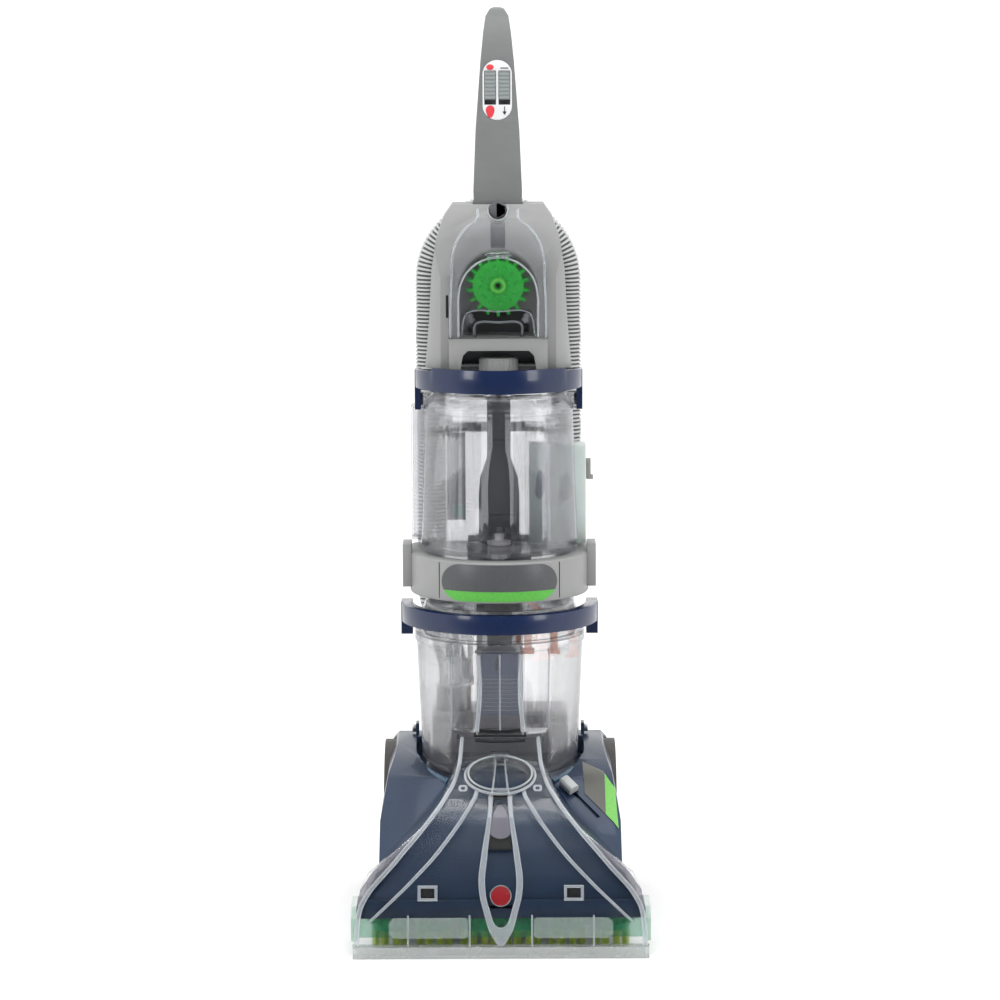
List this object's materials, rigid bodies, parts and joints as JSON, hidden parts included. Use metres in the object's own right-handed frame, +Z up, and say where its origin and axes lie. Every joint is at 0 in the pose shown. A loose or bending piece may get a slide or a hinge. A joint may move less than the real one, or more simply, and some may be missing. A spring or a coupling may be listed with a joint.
{
  "type": "upright carpet cleaner",
  "caption": "Upright carpet cleaner with a wheeled foot, clear suction nozzle, two stacked clear tanks, reclining column, stored hose and loop handle.",
  "frame": {"origin": "on the floor, under the middle of the bounding box", "axes": "+Z up along the machine, -Y towards the nozzle (front), +X to the right seen from the front"},
  "size_m": [0.366, 0.46, 1.143],
  "materials": {
    "base_blue": "metallic flake gloss",
    "black_plastic": "matte",
    "steel": "satin",
    "wheel_grey": "satin",
    "label_grey": "satin",
    "light_plastic": "satin",
    "brush_green": "satin",
    "bristle_green": "fibrous",
    "clear_plastic": "clear gloss",
    "frosted_lip": "frosted",
    "badge_red": "gloss",
    "gasket_black": "matte",
    "orange_plastic": "satin",
    "float_grey": "satin",
    "bail_blue": "gloss",
    "housing_grey": "satin",
    "duct_grey": "satin",
    "tool_green": "satin",
    "hose_grey": "corrugated",
    "handle_grey": "satin",
    "plate_white": "gloss"
  },
  "bodies": {
    "base": {"base_housing": "base_blue", "base_plate": "black_plastic", "base_pins": "steel", "speed_label": "label_grey", "brush_block": "brush_green", "brush_motor": "steel", "badge": "badge_red"},
    "nozzle": {"nozzle_hood": "clear_plastic", "suction_lip": "frosted_lip"},
    "port_cap": {"port_cap": "clear_plastic"},
    "wheel_left": {"wheel_left": "wheel_grey"},
    "wheel_right": {"wheel_right": "wheel_grey"},
    "speed_lever": {"speed_lever": "light_plastic"},
    "recline_pedal": {"recline_pedal": "wheel_grey"},
    "drive_gear": {"drive_gear": "brush_green"},
    "recovery_tank": {"recovery_tank": "clear_plastic", "recovery_lid": "clear_plastic", "recovery_gasket": "gasket_black", "float_cage": "black_plastic", "lid_clips": "orange_plastic"},
    "recovery_float": {"recovery_float": "float_grey"},
    "recovery_bail": {"recovery_bail": "bail_blue"},
    "upright": {"motor_housing": "housing_grey", "rear_cover": "housing_grey", "cord_inlet": "black_plastic", "suction_motor": "steel", "pump": "black_plastic", "column_spine": "housing_grey", "air_duct": "duct_grey", "tank_cradle": "housing_grey", "cradle_label": "label_grey", "upper_housing": "housing_grey", "caddy_cover": "clear_plastic", "tool_bracket": "duct_grey", "accessory_hose": "hose_grey", "hose_cuffs": "hose_grey", "hose_hooks": "duct_grey", "cord_hooks": "duct_grey", "handle": "handle_grey", "handle_bolt": "duct_grey", "switch_plate": "plate_white", "housing_screws": "steel"},
    "motor_fan": {"motor_fan": "duct_grey"},
    "clean_tank": {"clean_tank": "clear_plastic", "tank_valve": "black_plastic", "detergent_bottle": "float_grey", "detergent_cap": "light_plastic"},
    "tank_cap": {"tank_cap": "light_plastic"},
    "clean_bail": {"clean_bail": "bail_blue"},
    "tool_door": {"tool_door": "clear_plastic"},
    "hand_tool_brush": {"hand_tool_brush": "tool_green"},
    "power_switch": {"power_switch": "light_plastic"},
    "rinse_switch": {"rinse_switch": "light_plastic"},
    "trigger": {"trigger": "duct_grey"},
    "brush_1": {"brush_1": "bristle_green"},
    "brush_2": {"brush_2": "bristle_green"},
    "brush_3": {"brush_3": "bristle_green"},
    "brush_4": {"brush_4": "bristle_green"},
    "brush_5": {"brush_5": "bristle_green"},
    "brush_6": {"brush_6": "bristle_green"}
  },
  "joints": [
    {"name": "wheel_left_roll", "type": "hinge", "parent": "base", "child": "wheel_left", "pos_m": [-0.1335, 0.132, 0.098], "axis": [1, 0, 0], "continuous": true},
    {"name": "wheel_right_roll", "type": "hinge", "parent": "base", "child": "wheel_right", "pos_m": [0.1335, 0.132, 0.098], "axis": [1, 0, 0], "continuous": true},
    {"name": "upright_recline", "type": "hinge", "parent": "base", "child": "upright", "pos_m": [0, 0.132, 0.098], "axis": [-1, 0, 0], "range_deg": [0, 45]},
    {"name": "pedal_press", "type": "hinge", "parent": "base", "child": "recline_pedal", "pos_m": [-0.111, 0.16, 0.066], "axis": [-1, 0, 0], "range_deg": [0, 12], "stiffness_Nm_per_rad": 1.2},
    {"name": "nozzle_pull", "type": "slide", "parent": "base", "child": "nozzle", "axis": [0, -1, 0], "range_m": [0, 0.06]},
    {"name": "port_cap_open", "type": "hinge", "parent": "nozzle", "child": "port_cap", "pos_m": [0, -0.07487, 0.22145], "axis": [-1, 0, 0], "range_deg": [0, 75]},
    {"name": "speed_lever_travel", "type": "slide", "parent": "base", "child": "speed_lever", "axis": [0.6083, -0.6213, -0.4939], "range_m": [0, 0.045]},
    {"name": "brush_1_spin", "type": "hinge", "parent": "base", "child": "brush_1", "pos_m": [-0.135, -0.178, 0.036], "axis": [0, 0, 1], "continuous": true},
    {"name": "brush_2_spin", "type": "hinge", "parent": "base", "child": "brush_2", "pos_m": [-0.081, -0.178, 0.036], "axis": [0, 0, 1], "continuous": true},
    {"name": "brush_3_spin", "type": "hinge", "parent": "base", "child": "brush_3", "pos_m": [-0.027, -0.178, 0.036], "axis": [0, 0, 1], "continuous": true},
    {"name": "brush_4_spin", "type": "hinge", "parent": "base", "child": "brush_4", "pos_m": [0.027, -0.178, 0.036], "axis": [0, 0, 1], "continuous": true},
    {"name": "brush_5_spin", "type": "hinge", "parent": "base", "child": "brush_5", "pos_m": [0.081, -0.178, 0.036], "axis": [0, 0, 1], "continuous": true},
    {"name": "brush_6_spin", "type": "hinge", "parent": "base", "child": "brush_6", "pos_m": [0.135, -0.178, 0.036], "axis": [0, 0, 1], "continuous": true},
    {"name": "drive_gear_spin", "type": "hinge", "parent": "base", "child": "drive_gear", "pos_m": [0.027, -0.1375, 0.06], "axis": [0, 0, 1], "continuous": true},
    {"name": "recovery_tank_tilt", "type": "hinge", "parent": "base", "child": "recovery_tank", "pos_m": [0, -0.0618, 0.241], "axis": [1, 0, 0], "range_deg": [0, 7]},
    {"name": "float_rise", "type": "slide", "parent": "recovery_tank", "child": "recovery_float", "axis": [0, 0, 1], "range_m": [0, 0.025]},
    {"name": "recovery_bail_lift", "type": "hinge", "parent": "recovery_tank", "child": "recovery_bail", "pos_m": [0, 0.038, 0.372], "axis": [-1, 0, 0], "range_deg": [-15, 5]},
    {"name": "fan_spin", "type": "hinge", "parent": "upright", "child": "motor_fan", "pos_m": [0, 0.15, 0.198], "axis": [0, 0, 1], "continuous": true},
    {"name": "clean_tank_pull", "type": "slide", "parent": "upright", "child": "clean_tank", "axis": [0, -1, 0], "range_m": [0, 0.2]},
    {"name": "tank_cap_turn", "type": "hinge", "parent": "clean_tank", "child": "tank_cap", "pos_m": [0, -0.008, 0.7], "axis": [0, 0, 1], "range_deg": [0, 90]},
    {"name": "clean_bail_swing", "type": "hinge", "parent": "clean_tank", "child": "clean_bail", "pos_m": [0, 0.038, 0.654], "axis": [-1, 0, 0], "range_deg": [-20, 0]},
    {"name": "tool_door_open", "type": "hinge", "parent": "upright", "child": "tool_door", "pos_m": [0, -0.04, 0.842], "axis": [-1, 0, 0], "range_deg": [0, 80]},
    {"name": "hand_tool_spin", "type": "hinge", "parent": "upright", "child": "hand_tool_brush", "pos_m": [0, -0.008, 0.801], "axis": [0, 1, 0], "continuous": true},
    {"name": "power_switch_travel", "type": "slide", "parent": "upright", "child": "power_switch", "axis": [0, -0.279, -0.9603], "range_m": [0, 0.006]},
    {"name": "rinse_switch_travel", "type": "slide", "parent": "upright", "child": "rinse_switch", "axis": [0, -0.279, -0.9603], "range_m": [0, 0.006]},
    {"name": "trigger_pull", "type": "hinge", "parent": "upright", "child": "trigger", "pos_m": [0, 0.133, 1.091], "axis": [1, 0, 0], "range_deg": [0, 8], "stiffness_Nm_per_rad": 0.8}
  ],
  "couplings": [
    {"joint": "brush_2_spin", "follows": "brush_1_spin", "ratio": -1},
    {"joint": "brush_3_spin", "follows": "brush_1_spin", "ratio": 1},
    {"joint": "brush_4_spin", "follows": "brush_1_spin", "ratio": -1},
    {"joint": "brush_5_spin", "follows": "brush_1_spin", "ratio": 1},
    {"joint": "brush_6_spin", "follows": "brush_1_spin", "ratio": -1},
    {"joint": "drive_gear_spin", "follows": "brush_1_spin", "ratio": 2}
  ]
}
